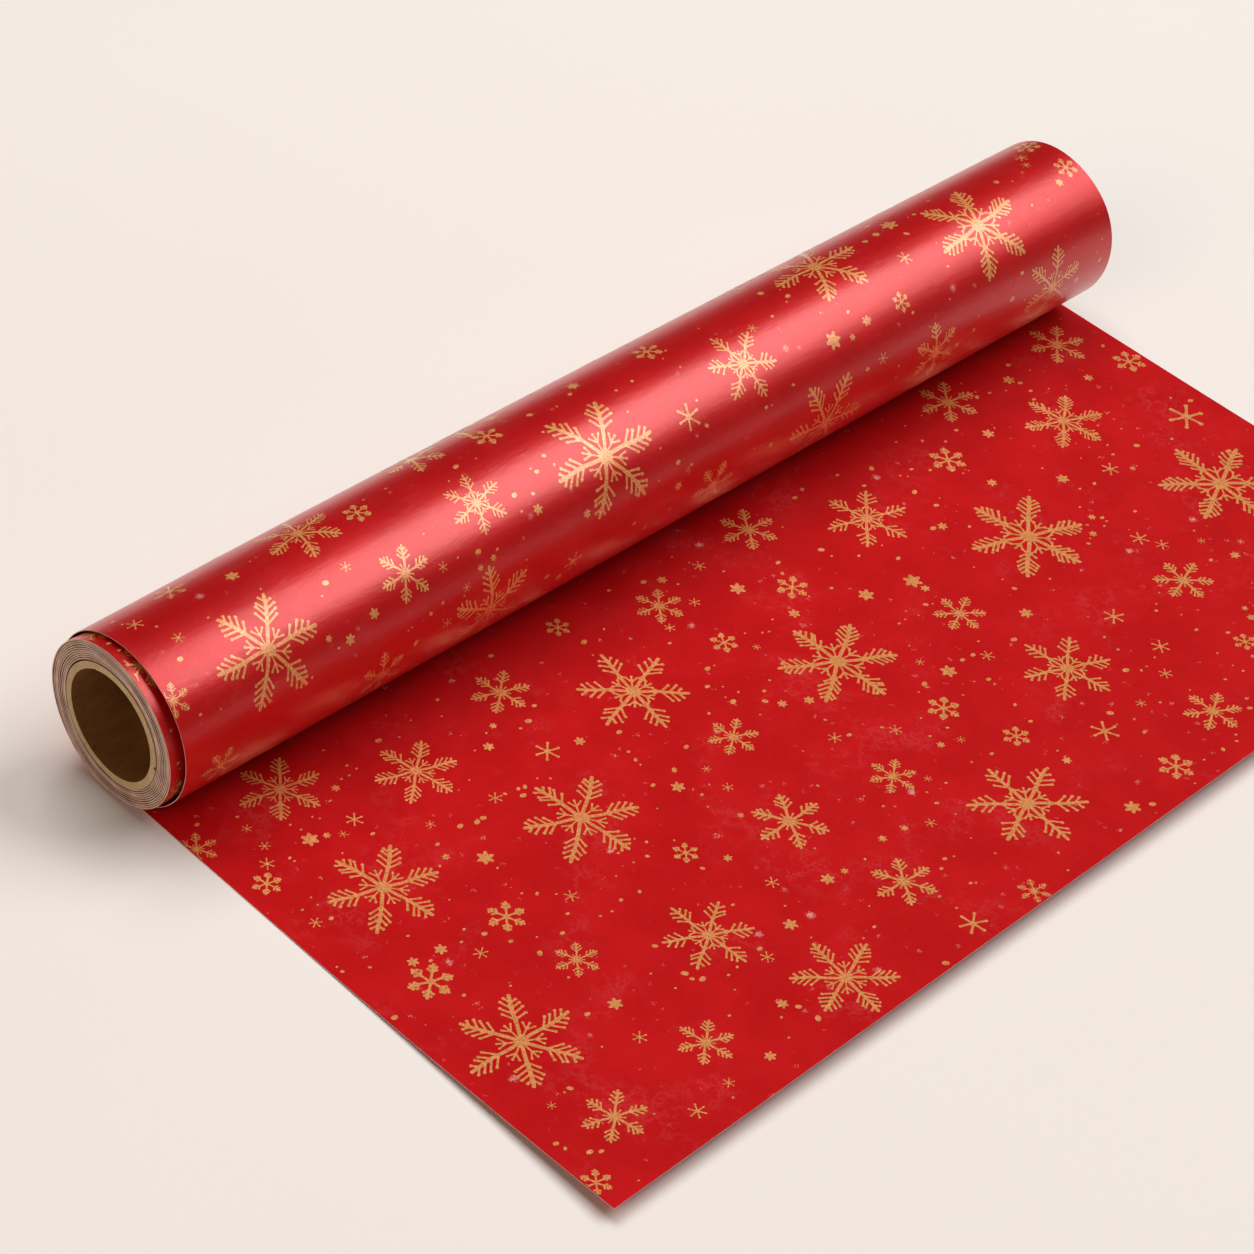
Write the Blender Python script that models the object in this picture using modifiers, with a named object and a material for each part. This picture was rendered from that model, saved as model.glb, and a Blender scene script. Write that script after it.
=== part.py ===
"""Wrapping paper roll: a paperboard core, the paper wound on it and a length of it unrolled.

Metres, +Z up. The roll's axis lies along Y. The paper leaves the underside of the roll and runs
off along +X on the table, which is Z = 0. The origin is the middle of the whole footprint.
"""

import math

import bmesh
import bpy
import numpy as np

# The paper web
WEB_WIDTH = 0.432  # 17 inch roll
PAPER = 0.00015  # the loose turn and the unrolled sheet
SHEET_LENGTH = 0.214  # laid out in front of the line where the paper leaves the roll
FLAT_LENGTH = 0.080  # of that, lying flat before the free end begins to curl
CURL_RISE = 0.005  # height of the free edge over the table

# The core, three spiral-wound plies
CORE_BORE = 0.0375  # nominal 1.5 inch core
PLY = 0.0006
PLY_LEAD = 0.100  # advance of a ply along the axis in one turn
SEAM = 0.0006  # open butt seam between the turns of one ply

# The winding
PACK_TURNS = 9  # each stands for about seven real turns
PACK_PITCH = 0.00074
PACK_PAPER = 0.0003
TELESCOPE = 0.004  # the winding stands this far out of the loose turn at the near end
SLACK = 0.0029  # room over the winding inside the loose turn

FIT = 0.0003  # clearance between neighbouring pieces

# Facets
TURN_STEPS = 40  # of the paper, in one turn
PLY_STEPS = 24  # of a core ply, in one turn
CURL_STEPS = 8

# Sizes that follow
CORE_RADIUS = CORE_BORE / 2 + 3 * PLY + 2 * FIT
PACK_START = CORE_RADIUS + FIT + PACK_PAPER / 2
PACK_RADIUS = PACK_START + PACK_TURNS * PACK_PITCH + PACK_PAPER / 2
STEP_IN = PAPER + FIT  # the loose turn starts this far inside the place where it ends
PACK_Z = STEP_IN + PAPER + FIT + PACK_RADIUS
LOOSE_RADIUS = (PACK_Z + PACK_RADIUS + SLACK + PAPER) / 2
AXIS_X = (LOOSE_RADIUS - SHEET_LENGTH) / 2
WEB_Y = TELESCOPE / 2
PACK_Y = -TELESCOPE / 2


def clear_scene():
    """Remove every object that the file starts with."""
    for obj in list(bpy.data.objects):
        bpy.data.objects.remove(obj)


def collection(name):
    """A new collection in the scene."""
    made = bpy.data.collections.new(name)
    bpy.context.scene.collection.children.link(made)
    return made


def material(name, colour, roughness):
    """A plain material of one colour."""
    made = bpy.data.materials.new(name)
    made.use_nodes = True
    shader = made.node_tree.nodes["Principled BSDF"]
    shader.inputs["Base Color"].default_value = (*colour, 1.0)
    shader.inputs["Roughness"].default_value = roughness
    return made


def empty(name, location, target):
    """An empty whose local Z runs along the roll's axis, towards the near end."""
    made = bpy.data.objects.new(name, None)
    made.location = location
    made.rotation_euler = (math.pi / 2, 0.0, 0.0)
    target.objects.link(made)
    return made


def paper_web(name, path, thickness, parent, finish, target):
    """Paper that follows a path of (x, y) points in the parent's plane, WEB_WIDTH wide."""
    curve = bpy.data.curves.new(name, "CURVE")
    curve.dimensions = "2D"
    curve.fill_mode = "NONE"
    curve.extrude = WEB_WIDTH / 2
    spline = curve.splines.new("POLY")
    spline.points.add(len(path) - 1)
    for point, (x, y) in zip(spline.points, path):
        point.co = (x, y, 0.0, 1.0)
    web = bpy.data.objects.new(name, curve)
    web.parent = parent
    body = web.modifiers.new("paper thickness", "SOLIDIFY")
    body.thickness = thickness
    body.offset = 0.0
    body.use_even_offset = True
    curve.materials.append(finish)
    target.objects.link(web)
    return web


def spiral(start_angle, turns, start_radius, end_radius, steps):
    """Points on a spiral whose radius grows evenly, with angles from +X towards +Z."""
    count = round(turns * steps)
    points = []
    for i in range(count + 1):
        share = i / count
        angle = start_angle + 2 * math.pi * turns * share
        radius = start_radius + (end_radius - start_radius) * share
        points.append((radius * math.cos(angle), radius * math.sin(angle)))
    return points


def least_turn_gap(path, steps, thickness):
    """Smallest clear distance from a turn of the path to the next turn round it."""
    points = np.array(path)
    least = math.inf
    for i in range(len(points) - steps - 1):
        for j in range(max(i + steps - 2, 0), min(i + steps + 2, len(points) - 1)):
            a, b = points[j], points[j + 1]
            share = np.clip(np.dot(points[i] - a, b - a) / np.dot(b - a, b - a), 0.0, 1.0)
            least = min(least, float(np.linalg.norm(points[i] - a - share * (b - a))))
    return least - thickness


def core_ply(name, inner_radius, turned, parent, finish, target, cutters):
    """One ply of the core: a strip wound edge to edge with an open seam, cut square at both ends."""
    strip = bpy.data.meshes.new(name + " strip")
    low, high = 0.0, PLY_LEAD - SEAM
    inner, outer = inner_radius, inner_radius + PLY
    corners = [(inner, 0, low), (outer, 0, low), (outer, 0, high), (inner, 0, high)]
    strip.from_pydata(corners, [(0, 1), (1, 2), (2, 3), (3, 0)], [])
    source = bpy.data.objects.new(name + " strip", strip)
    turns = math.ceil(WEB_WIDTH / PLY_LEAD) + 2
    source.location = (0.0, 0.0, -turns * PLY_LEAD / 2 - PLY_LEAD / 2)
    source.rotation_euler = (0.0, 0.0, turned)
    source.parent = parent
    winding = source.modifiers.new("winding", "SCREW")
    winding.angle = 2 * math.pi
    winding.screw_offset = PLY_LEAD
    winding.iterations = turns
    winding.steps = PLY_STEPS
    winding.render_steps = PLY_STEPS
    winding.use_merge_vertices = False
    cutters.objects.link(source)
    source.hide_render = True
    source.display_type = "WIRE"

    bpy.context.view_layer.update()
    evaluated = source.evaluated_get(bpy.context.evaluated_depsgraph_get())
    wound = bpy.data.meshes.new_from_object(evaluated)
    wound.transform(source.matrix_local)
    shape = bmesh.new()
    shape.from_mesh(wound)
    bmesh.ops.holes_fill(shape, edges=[e for e in shape.edges if e.is_boundary], sides=4)
    bmesh.ops.recalc_face_normals(shape, faces=shape.faces)
    shape.to_mesh(wound)
    shape.free()
    wound.name = name
    wound.materials.clear()
    wound.materials.append(finish)

    ply = bpy.data.objects.new(name, wound)
    ply.parent = parent
    target.objects.link(ply)
    trim = ply.modifiers.new("square ends", "BOOLEAN")
    trim.operation = "INTERSECT"
    trim.solver = "EXACT"
    trim.object = end_trim(name + " trim", outer, parent, cutters)
    return ply


def end_trim(name, radius, parent, cutters):
    """The block that a ply is cut to, as long as the web is wide."""
    shape = bmesh.new()
    bmesh.ops.create_cube(shape, size=1.0)
    mesh = bpy.data.meshes.new(name)
    shape.to_mesh(mesh)
    shape.free()
    block = bpy.data.objects.new(name, mesh)
    block.scale = (4 * radius, 4 * radius, WEB_WIDTH)
    block.parent = parent
    block.hide_render = True
    block.display_type = "WIRE"
    cutters.objects.link(block)
    return block


def build_core(parent, target, cutters):
    """Three plies, their seams a third of a turn apart."""
    kraft = material("kraft paperboard", (0.50, 0.36, 0.23), 0.85)
    grey = material("grey paperboard", (0.44, 0.38, 0.31), 0.9)
    radius = CORE_BORE / 2
    for i, (name, finish) in enumerate(
        [("core_inner_ply", kraft), ("core_middle_ply", grey), ("core_outer_ply", kraft)]
    ):
        core_ply(name, radius, i * 2 * math.pi / 3, parent, finish, target, cutters)
        radius += PLY + FIT


def build_paper(roll, target):
    """The winding, the loose turn round it and the sheet, which are one web of paper."""
    red = material("printed red paper", (0.55, 0.02, 0.03), 0.4)
    edge = material("wound paper", (0.50, 0.05, 0.06), 0.6)
    bottom = -math.pi / 2

    pack_path = spiral(
        bottom, PACK_TURNS, PACK_START, PACK_START + PACK_TURNS * PACK_PITCH, TURN_STEPS
    )
    gap = least_turn_gap(pack_path, TURN_STEPS, PACK_PAPER)
    print(f"wound paper: least gap between turns {gap * 1000:.3f} mm")
    paper_web("wound_paper", pack_path, PACK_PAPER, roll, edge, target)

    loose = empty("loose_turn_axis", (AXIS_X, WEB_Y, LOOSE_RADIUS), target)
    end = LOOSE_RADIUS - PAPER / 2
    turns = 1 - FIT / (2 * math.pi * LOOSE_RADIUS)
    loose_path = spiral(bottom, turns, end - STEP_IN, end, TURN_STEPS)
    paper_web("loose_outer_turn", loose_path, PAPER, loose, red, target)

    table = empty("tangent_line", (AXIS_X, WEB_Y, 0.0), target)
    sheet_path = [(0.0, PAPER / 2)]
    for i in range(CURL_STEPS + 1):
        share = i / CURL_STEPS
        x = FLAT_LENGTH + (SHEET_LENGTH - FLAT_LENGTH) * share
        sheet_path.append((x, PAPER / 2 + CURL_RISE * share**2))
    paper_web("unrolled_sheet", sheet_path, PAPER, table, red, target)


def main():
    """Build every piece in place."""
    clear_scene()
    pieces = collection("wrapping paper roll")
    cutters = collection("cutters")
    roll = empty("roll_axis", (AXIS_X, PACK_Y, PACK_Z), pieces)
    build_core(roll, pieces, cutters)
    build_paper(roll, pieces)


main()
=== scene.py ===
"""Looks of the wrapping paper roll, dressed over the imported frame.

Lengths are in metres. The roll's axis runs along Y and the unrolled sheet runs off along +X on
the table. Places on the paper are given as (across, along): across is the Y of the web, along is
the way from the line where the sheet leaves the roll, or the arc round the roll from +X up.
"""

from __future__ import annotations

import logging
import math
from collections.abc import Callable
from dataclasses import dataclass, replace
from enum import Enum

import bmesh
import bpy
import numpy as np
from mathutils import Matrix, Vector

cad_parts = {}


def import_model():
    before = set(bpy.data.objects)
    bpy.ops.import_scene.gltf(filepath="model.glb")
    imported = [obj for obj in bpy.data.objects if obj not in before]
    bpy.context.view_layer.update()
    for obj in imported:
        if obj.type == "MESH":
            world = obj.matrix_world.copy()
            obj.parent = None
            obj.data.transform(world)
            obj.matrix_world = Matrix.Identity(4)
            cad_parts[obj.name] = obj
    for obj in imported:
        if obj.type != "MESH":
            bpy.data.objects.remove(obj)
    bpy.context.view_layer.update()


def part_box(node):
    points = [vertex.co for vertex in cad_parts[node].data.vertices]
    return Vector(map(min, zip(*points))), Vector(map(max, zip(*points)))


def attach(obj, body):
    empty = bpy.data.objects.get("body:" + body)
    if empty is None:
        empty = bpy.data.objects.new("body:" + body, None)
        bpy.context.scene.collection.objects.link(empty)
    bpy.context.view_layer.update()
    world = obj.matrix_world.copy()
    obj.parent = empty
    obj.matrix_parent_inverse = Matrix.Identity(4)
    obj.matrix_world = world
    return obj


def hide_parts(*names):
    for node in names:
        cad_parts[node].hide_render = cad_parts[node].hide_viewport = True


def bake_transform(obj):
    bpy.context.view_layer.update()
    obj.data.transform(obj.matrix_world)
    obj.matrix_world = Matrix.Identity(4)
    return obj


LOG = logging.getLogger("wrapping_paper_roll")
MM = 0.001
WELD_DISTANCE = 1e-7
SHARP_FROM = math.radians(35.0)
SIXTH_TURN = math.pi / 3.0

Colour = tuple[float, float, float]
Point = tuple[float, float, float]
Area = tuple[float, float, float, float]
Lay = Callable[[np.ndarray, np.ndarray], np.ndarray]


class Graph:
    """A material's nodes, added and joined by short calls."""

    def __init__(self, name: str) -> None:
        """Start a material that has one Principled surface.

        Args:
            name: The material's name.
        """
        self.material = bpy.data.materials.new(name)
        self.material.use_nodes = True
        self.tree = self.material.node_tree
        self.surface = self.tree.nodes["Principled BSDF"]
        self.place = self.add("ShaderNodeTexCoord").outputs["Object"]

    def give(self, socket: bpy.types.NodeSocket, value: object) -> None:
        """Join a socket to another, or set its value.

        Args:
            socket: The input to feed.
            value: A socket to join it to, or a value, where three numbers are a colour.
        """
        if isinstance(value, bpy.types.NodeSocket):
            self.tree.links.new(value, socket)
        elif isinstance(value, tuple) and len(value) == 3 and socket.type == "RGBA":
            socket.default_value = (*value, 1.0)
        else:
            socket.default_value = value

    def add(self, kind: str, inputs: dict | None = None, **settings: object) -> bpy.types.Node:
        """Add a node.

        Args:
            kind: The node's type name.
            inputs: Values or sockets for its inputs, by name or number.
            settings: Its other properties.

        Returns:
            The node.
        """
        node = self.tree.nodes.new(kind)
        for key, value in settings.items():
            setattr(node, key, value)
        for key, value in (inputs or {}).items():
            self.give(node.inputs[key], value)
        return node

    def maths(self, operation: str, a: object, b: object = 0.0) -> bpy.types.NodeSocket:
        """The result of one calculation on two values."""
        return self.add("ShaderNodeMath", {0: a, 1: b}, operation=operation).outputs[0]

    def stretched(self, factors: Point) -> bpy.types.NodeSocket:
        """Object coordinates multiplied by a factor for each axis."""
        node = self.add("ShaderNodeVectorMath", {0: self.place, 1: factors}, operation="MULTIPLY")
        return node.outputs[0]

    def noise(
        self, scale: float, detail: float = 2.0, roughness: float = 0.5, place: object = None
    ) -> bpy.types.NodeSocket:
        """Noise from 0 to 1.

        Args:
            scale: Features in a metre.
            detail: Octaves of finer noise.
            roughness: Strength of the finer octaves.
            place: Coordinates, the object's own if left out.

        Returns:
            The noise's value.
        """
        inputs = {
            "Vector": place or self.place,
            "Scale": scale,
            "Detail": detail,
            "Roughness": roughness,
        }
        return self.add("ShaderNodeTexNoise", inputs).outputs[0]

    def ramp(
        self, value: object, low: float, high: float, to_low: float = 0.0, to_high: float = 1.0
    ) -> bpy.types.NodeSocket:
        """A value brought smoothly from one range to another and held at its ends.

        Args:
            value: The value to bring over.
            low: Where the ramp starts.
            high: Where it ends.
            to_low: What it gives at low.
            to_high: What it gives at high.

        Returns:
            The new value.
        """
        inputs = {
            "Value": value,
            "From Min": low,
            "From Max": high,
            "To Min": to_low,
            "To Max": to_high,
        }
        node = self.add("ShaderNodeMapRange", inputs, interpolation_type="SMOOTHSTEP")
        return node.outputs[0]

    def tint(self, share: object, first: object, second: object) -> bpy.types.NodeSocket:
        """Mix two colours.

        Args:
            share: Share of the second colour, from 0 to 1.
            first: The colour at 0.
            second: The colour at 1.

        Returns:
            The mixed colour.
        """
        # The node has sockets of its own for each type of data. These are the ones for colours.
        node = self.add("ShaderNodeMix", {0: share, 6: first, 7: second}, data_type="RGBA")
        return node.outputs[2]

    def bump(self, height: object, depth: float, strength: float = 1.0) -> None:
        """Give the surface relief.

        Args:
            height: Relief from 0 to 1.
            depth: The relief's depth in metres.
            strength: Share of the relief that shows.
        """
        inputs = {"Height": height, "Distance": depth, "Strength": strength}
        node = self.add("ShaderNodeBump", inputs)
        for name in ("Normal", "Coat Normal"):
            self.tree.links.new(node.outputs[0], self.surface.inputs[name])

    def dress(self, **inputs: object) -> bpy.types.Material:
        """Set the surface's inputs and finish the material.

        Args:
            inputs: Values or sockets, by the input's name with _ for each space.

        Returns:
            The material.
        """
        for key, value in inputs.items():
            self.give(self.surface.inputs[key.replace("_", " ")], value)
        return self.material


@dataclass(frozen=True)
class LatePrint:
    """Snowflakes drawn in the paper's nodes, on what only comes off the roll as it travels."""

    paid_out_to: float
    per_metre: float = 21.0
    stray: float = 0.45
    chances: tuple[float, float] = (0.15, 0.85)
    reach: tuple[float, float] = (0.006, 0.018)
    first_turn: float = 7.0
    arm: float = 0.0006
    hub: float = 0.11
    twig_step: float = 0.14
    twig: float = 0.026
    twig_lean: float = 0.9
    twig_root: float = 0.40
    twig_reach: float = 0.42
    strength: float = 0.9

    def shown(self, g: Graph) -> bpy.types.NodeSocket:
        """Draw one flake in each cell of a loose grid.

        Args:
            g: The material's nodes.

        Returns:
            How much gold shows, which is none on the stretch that has its own print at rest.
        """
        cells = g.add(
            "ShaderNodeTexVoronoi",
            {"Vector": g.place, "Scale": self.per_metre, "Randomness": self.stray},
            voronoi_dimensions="2D",
        )
        middle = cells.outputs["Position"]
        off = g.add("ShaderNodeVectorMath", {0: g.place, 1: middle}, operation="SUBTRACT")
        # Times one makes a single number of the cell's colour.
        chance = g.maths("MULTIPLY", cells.outputs["Color"], 1.0)
        reach = g.ramp(chance, *self.chances, *self.reach)
        flake = self.flake(g, off.outputs[0], chance, reach)
        along = g.add("ShaderNodeSeparateXYZ", {0: middle}).outputs[0]
        paid_out = g.maths("LESS_THAN", g.maths("ADD", along, reach), self.paid_out_to)
        return g.maths("MULTIPLY", g.maths("MULTIPLY", flake, paid_out), self.strength)

    def flake(
        self,
        g: Graph,
        off: bpy.types.NodeSocket,
        turn: bpy.types.NodeSocket,
        reach: bpy.types.NodeSocket,
    ) -> bpy.types.NodeSocket:
        """A six-armed flake about a point, folded from one half of an arm.

        Args:
            g: The material's nodes.
            off: The way from the flake's middle.
            turn: Its turn in radians.
            reach: Its radius.

        Returns:
            1 on the flake and 0 off it.
        """
        x, y = g.add("ShaderNodeSeparateXYZ", {0: off}).outputs[:2]
        squares = g.maths("ADD", g.maths("MULTIPLY", x, x), g.maths("MULTIPLY", y, y))
        radius = g.maths("SQRT", squares)
        angle = g.maths("ADD", g.maths("ARCTAN2", y, x), turn)
        # A first turn of more than a full one keeps the angle above zero for the fold.
        angle = g.maths("ADD", angle, self.first_turn)
        fold = g.maths("SUBTRACT", g.maths("MODULO", angle, SIXTH_TURN), SIXTH_TURN / 2.0)
        run = g.maths("MULTIPLY", radius, g.maths("COSINE", fold))
        side = g.maths("ABSOLUTE", g.maths("MULTIPLY", radius, g.maths("SINE", fold)))
        inside = g.maths("LESS_THAN", run, reach)
        arm = g.maths("MULTIPLY", g.maths("LESS_THAN", side, self.arm), inside)
        root = g.maths("SUBTRACT", run, g.maths("MULTIPLY", side, self.twig_lean))
        root = g.maths("DIVIDE", root, reach)
        step = g.maths("SUBTRACT", g.maths("MODULO", root, self.twig_step), self.twig_step / 2.0)
        twig = g.maths("LESS_THAN", g.maths("ABSOLUTE", step), self.twig)
        longest = g.maths("MULTIPLY", reach, self.twig_reach)
        limit = g.maths("MULTIPLY", g.maths("SUBTRACT", 1.0, root), longest)
        twig = g.maths("MULTIPLY", twig, g.maths("LESS_THAN", side, limit))
        twig = g.maths("MULTIPLY", twig, g.maths("GREATER_THAN", root, self.twig_root))
        hub = g.maths("LESS_THAN", radius, g.maths("MULTIPLY", reach, self.hub))
        return g.maths("MAXIMUM", g.maths("MAXIMUM", arm, hub), g.maths("MULTIPLY", twig, inside))


@dataclass(frozen=True)
class RedPaper:
    """Satin gift wrap: a red metallic sheen under thin varnish, fine grain and pale scuffs."""

    name: str = "satin red paper"
    red: Colour = (0.690, 0.0030, 0.0044)
    deep: Colour = (0.610, 0.0015, 0.0024)
    haze: Colour = (0.720, 0.1000, 0.1050)
    scuff: Colour = (0.850, 0.4200, 0.3600)
    metal: float = 0.42
    rough: tuple[float, float] = (0.43, 0.49)
    varnish: float = 1.0
    varnish_rough: float = 0.30
    rubbed: float = 0.13
    flecks: tuple[tuple[float, float], ...] = ((62.0, 0.44), (130.0, 0.48), (230.0, 0.60))
    fleck_wander: float = 0.004
    fleck_strength: float = 0.75
    relief: float = 0.60
    relief_depth: float = 0.00012
    grain_share: float = 0.45
    late_print: LatePrint | None = None

    def material(self) -> bpy.types.Material:
        """The paper's printed face.

        Returns:
            The material.
        """
        g = Graph(self.name)
        mottle = g.ramp(g.noise(38.0, 4.0, 0.6), 0.32, 0.68)
        colour = g.tint(mottle, self.deep, self.red)
        colour = g.tint(self.wisps(g), colour, self.haze)
        for scale, share in self.flecks:
            colour = g.tint(self.worn_specks(g, scale, share), colour, self.scuff)
        if self.late_print:
            colour = g.tint(self.late_print.shown(g), colour, GoldInk().grain(g))
        grain = g.noise(1500.0, 3.0, 0.65)
        fibre = g.noise(420.0, 3.0, 0.6, g.stretched((1.0, 0.35, 1.0)))
        relief = g.maths("ADD", g.maths("MULTIPLY", grain, self.grain_share), fibre)
        g.bump(relief, self.relief_depth, self.relief)
        rough = g.ramp(g.noise(260.0, 3.0, 0.6), 0.2, 0.8, *self.rough)
        return g.dress(
            Base_Color=colour,
            Metallic=self.metal,
            Roughness=rough,
            Specular_IOR_Level=0.10,
            Coat_Weight=self.varnish,
            Coat_Roughness=self.varnish_rough,
        )

    def wisps(self, g: Graph) -> bpy.types.NodeSocket:
        """Faint threads of rubbed ink, gathered in patches.

        Args:
            g: The material's nodes.

        Returns:
            How much the ink is rubbed, from 0 to 1.
        """
        thread = g.maths("ABSOLUTE", g.maths("SUBTRACT", g.noise(120.0, 8.0, 0.72), 0.5))
        thread = g.ramp(thread, 0.0, 0.045, 1.0, 0.0)
        patch = g.ramp(g.noise(34.0, 3.0, 0.6), 0.50, 0.68)
        cloud = g.maths("MULTIPLY", g.ramp(g.noise(260.0, 6.0, 0.75), 0.5, 0.8), 0.6)
        rubbed = g.maths("MULTIPLY", g.maths("ADD", thread, cloud), patch)
        return g.maths("MULTIPLY", rubbed, self.rubbed)

    def worn_specks(self, g: Graph, scale: float, share: float) -> bpy.types.NodeSocket:
        """Sparse cells with a small ragged spot in each.

        Args:
            g: The material's nodes.
            scale: Cells in a metre.
            share: Share of the cells that stay without a speck.

        Returns:
            How much a speck shows, from 0 to 1.
        """
        wander = g.add("ShaderNodeTexNoise", {"Scale": 420.0, "Detail": 2.0}).outputs["Color"]
        reach = (self.fleck_wander,) * 3
        shift = g.add("ShaderNodeVectorMath", {0: wander, 1: reach}, operation="MULTIPLY")
        place = g.add("ShaderNodeVectorMath", {0: g.place, 1: shift.outputs[0]}, operation="ADD")
        cells = g.add("ShaderNodeTexVoronoi", {"Vector": place.outputs[0], "Scale": scale})
        some = g.ramp(cells.outputs["Color"], share, share + 0.02)
        spot = g.ramp(cells.outputs["Distance"], 0.03, 0.10, 1.0, 0.0)
        return g.maths("MULTIPLY", g.maths("MULTIPLY", some, spot), self.fleck_strength)


INNER_FACE = RedPaper(
    "red paper, inner face",
    red=(0.600, 0.0060, 0.0080),
    deep=(0.525, 0.0030, 0.0045),
    metal=0.15,
    rough=(0.47, 0.53),
    varnish=0.12,
    varnish_rough=0.42,
    rubbed=0.22,
    relief=0.50,
)


@dataclass(frozen=True)
class CutPaper:
    """The cut edges of the web, where the pale body of the paper shows between its inks; a
    near-black copy is the painted shade between wound layers.
    """

    name: str = "cut paper edge"
    pale: Colour = (0.80, 0.66, 0.59)
    stain_and_shade: Colour = (0.66, 0.46, 0.41)
    speck: Colour = (0.30, 0.14, 0.12)

    def material(self) -> bpy.types.Material:
        """The edge of the paper.

        Returns:
            The material.
        """
        g = Graph(self.name)
        patch = g.ramp(g.noise(160.0, 4.0, 0.6), 0.30, 0.72)
        colour = g.tint(patch, self.stain_and_shade, self.pale)
        speck = g.ramp(g.noise(2200.0, 2.0, 0.5), 0.60, 0.76)
        colour = g.tint(g.maths("MULTIPLY", speck, 0.4), colour, self.speck)
        g.bump(g.noise(1800.0, 2.0, 0.6), depth=0.0001, strength=0.6)
        return g.dress(Base_Color=colour, Roughness=0.78, Specular_IOR_Level=0.3)


WOUND_EDGES = CutPaper(
    "edges of wound paper",
    pale=(0.78, 0.53, 0.42),
    stain_and_shade=(0.56, 0.34, 0.25),
    speck=(0.20, 0.10, 0.07),
)
# Painted shade: near-black paper on the faces of the wound layers, standing in for the shade in
# the tight gaps between them.
PAINTED_LAYER_SHADE = CutPaper(
    "painted shade between layers",
    pale=(0.12, 0.036, 0.026),
    stain_and_shade=(0.08, 0.020, 0.014),
    speck=(0.04, 0.010, 0.007),
)


@dataclass(frozen=True)
class KraftBoard:
    """Unbleached paperboard: brown, with fibres lying along the strip and darker flecks."""

    name: str = "kraft paperboard"
    light: Colour = (0.640, 0.430, 0.230)
    dark: Colour = (0.490, 0.310, 0.155)
    fleck: Colour = (0.240, 0.130, 0.055)

    def material(self) -> bpy.types.Material:
        """The board's surface.

        Returns:
            The material.
        """
        g = Graph(self.name)
        fibre = g.noise(240.0, 6.0, 0.7, g.stretched((1.0, 0.45, 1.0)))
        colour = g.tint(g.ramp(fibre, 0.25, 0.75), self.dark, self.light)
        fleck = g.ramp(g.noise(900.0, 2.0, 0.5, g.stretched((1.0, 0.5, 1.0))), 0.66, 0.76)
        colour = g.tint(g.maths("MULTIPLY", fleck, 0.5), colour, self.fleck)
        ridges = g.noise(700.0, 4.0, 0.6, g.stretched((1.0, 0.5, 1.0)))
        g.bump(ridges, depth=0.0002, strength=0.5)
        return g.dress(Base_Color=colour, Roughness=0.86, Specular_IOR_Level=0.25)


# Painted shade: a darker, redder copy of the kraft board for the bore, standing in for the shade
# inside the tube.
SHADED_BORE_BOARD = KraftBoard(
    "kraft paperboard with painted bore shade",
    light=(0.33, 0.140, 0.038),
    dark=(0.23, 0.09, 0.022),
    fleck=(0.11, 0.04, 0.01),
)
CUT_BOARD = KraftBoard(
    "cut kraft paperboard",
    light=(0.68, 0.48, 0.26),
    dark=(0.54, 0.36, 0.18),
    fleck=(0.26, 0.14, 0.06),
)


@dataclass(frozen=True)
class GoldInk:
    """Gold ink: metallic, slightly grainy, dulled in patches."""

    bright: Colour = (1.000, 0.430, 0.140)
    worn: Colour = (0.700, 0.220, 0.050)
    metal: float = 0.30
    rough: tuple[float, float] = (0.34, 0.46)
    varnish: float = 1.0
    varnish_rough: float = 0.27

    def material(self) -> bpy.types.Material:
        """The printed snowflakes.

        Returns:
            The material.
        """
        g = Graph("gold ink")
        colour = self.grain(g)
        rough = g.ramp(g.noise(500.0, 3.0, 0.6), 0.3, 0.7, *self.rough)
        g.bump(g.noise(1700.0, 2.0, 0.6), depth=0.00008, strength=0.5)
        return g.dress(
            Base_Color=colour,
            Roughness=rough,
            Metallic=self.metal,
            Coat_Weight=self.varnish,
            Coat_Roughness=self.varnish_rough,
        )

    def grain(self, g: Graph) -> bpy.types.NodeSocket:
        """The ink's colour, worn through in fine grains."""
        share = g.ramp(g.noise(1500.0, 3.0, 0.7), 0.36, 0.66)
        return g.tint(share, self.worn, self.bright)


@dataclass(frozen=True)
class PaleFloor:
    """The plain warm white surface that the roll lies on."""

    white: Colour = (0.900, 0.837, 0.785)
    patches: float = 0.985

    def material(self) -> bpy.types.Material:
        """The floor's surface.

        Returns:
            The material.
        """
        g = Graph("pale floor")
        soft = g.ramp(g.noise(3.0, 2.0, 0.5), 0.3, 0.7)
        dimmer = tuple(self.patches * part for part in self.white)
        return g.dress(Base_Color=g.tint(soft, dimmer, self.white), Roughness=0.9)


@dataclass
class Finishes:
    """The materials, made once and shared by the pieces."""

    paper: bpy.types.Material
    inner_paper: bpy.types.Material
    edge: bpy.types.Material
    wound_edges: bpy.types.Material
    layer_gaps: bpy.types.Material
    board: bpy.types.Material
    # Board darkened as painted shade in the bore.
    bore: bpy.types.Material
    cut_board: bpy.types.Material
    gold: bpy.types.Material

    @classmethod
    def make(cls, paid_out_to: float) -> Finishes:
        """Make each material.

        Args:
            paid_out_to: X below which the sheet has no print of its own at rest.

        Returns:
            The materials.
        """
        return cls(
            paper=RedPaper().material(),
            inner_paper=replace(INNER_FACE, late_print=LatePrint(paid_out_to)).material(),
            edge=CutPaper().material(),
            wound_edges=WOUND_EDGES.material(),
            layer_gaps=PAINTED_LAYER_SHADE.material(),
            board=KraftBoard().material(),
            bore=SHADED_BORE_BOARD.material(),
            cut_board=CUT_BOARD.material(),
            gold=GoldInk().material(),
        )


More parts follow.
